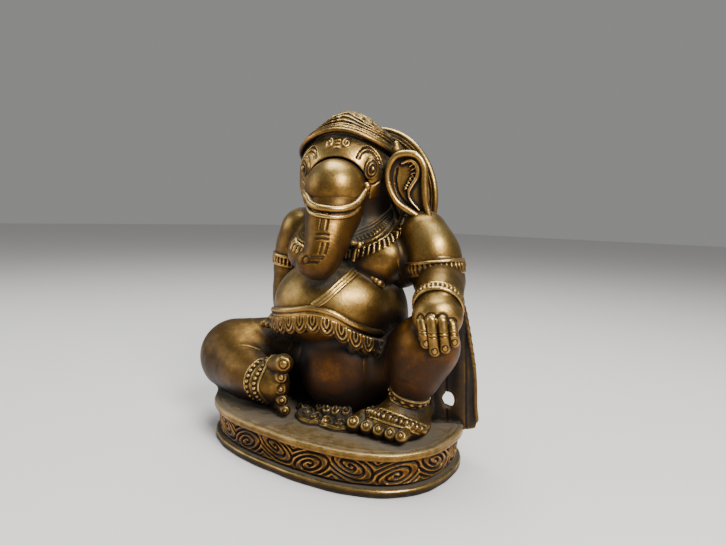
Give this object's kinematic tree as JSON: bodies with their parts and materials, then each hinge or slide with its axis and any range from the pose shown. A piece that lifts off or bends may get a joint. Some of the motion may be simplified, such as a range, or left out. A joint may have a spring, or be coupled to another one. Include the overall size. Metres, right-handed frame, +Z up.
{
  "type": "deity statue",
  "caption": "Small cast brass figurine of a seated elephant-headed deity on an oval carved plinth, with cap, halo disc, round belly and one raised knee, for display.",
  "frame": {"origin": "middle of the whole figure's box, on the underside of the plinth", "axes": "+Z up; the figure faces -Y, and its own left, the raised knee, is at +X"},
  "size_m": [0.0668, 0.0388, 0.072],
  "materials": {
    "aged_brass": "aged satin brass, olive brown in the hollows",
    "polished_brass": "worn bright brass where hands rub it, with fine pits and scratches",
    "dark_patina_brass": "dark brown patina with grey-olive dust, matt"
  },
  "bodies": {
    "root": {"base_flange": "aged_brass", "base_frieze": "aged_brass", "base_top_plate": "dark_patina_brass", "beaded_strap": "polished_brass", "belt_fringe": "aged_brass", "belt_roll": "polished_brass", "chest": "aged_brass", "cloth_fan": "dark_patina_brass", "crown_cap": "aged_brass", "crown_rim": "polished_brass", "crown_side_bud": "polished_brass", "halo_disc": "aged_brass", "halo_rim": "polished_brass", "head": "aged_brass", "left_anklet": "polished_brass", "left_armlet": "polished_brass", "left_bracelet": "polished_brass", "left_ear": "polished_brass", "left_eye": "aged_brass", "left_foot": "polished_brass", "left_forearm": "dark_patina_brass", "left_hand": "polished_brass", "left_index_finger": "polished_brass", "left_instep_band": "polished_brass", "left_little_finger": "polished_brass", "left_middle_finger": "polished_brass", "left_ring_finger": "polished_brass", "left_shin": "aged_brass", "left_thigh": "aged_brass", "left_thumb": "polished_brass", "left_upper_arm": "polished_brass", "lower_belly": "dark_patina_brass", "mouth_band": "polished_brass", "neck": "dark_patina_brass", "necklace_bars": "polished_brass", "necklace_collar": "dark_patina_brass", "pendant_bow": "polished_brass", "right_anklet": "polished_brass", "right_armlet": "polished_brass", "right_ear": "polished_brass", "right_eye": "aged_brass", "right_foot": "polished_brass", "right_forearm": "dark_patina_brass", "right_hand": "aged_brass", "right_shin": "aged_brass", "right_thigh": "aged_brass", "right_upper_arm": "aged_brass", "sacred_thread": "polished_brass", "seat": "dark_patina_brass", "shawl_drape": "aged_brass", "snout_dome": "polished_brass", "trunk": "polished_brass", "upper_belly": "polished_brass"}
  },
  "joints": []
}
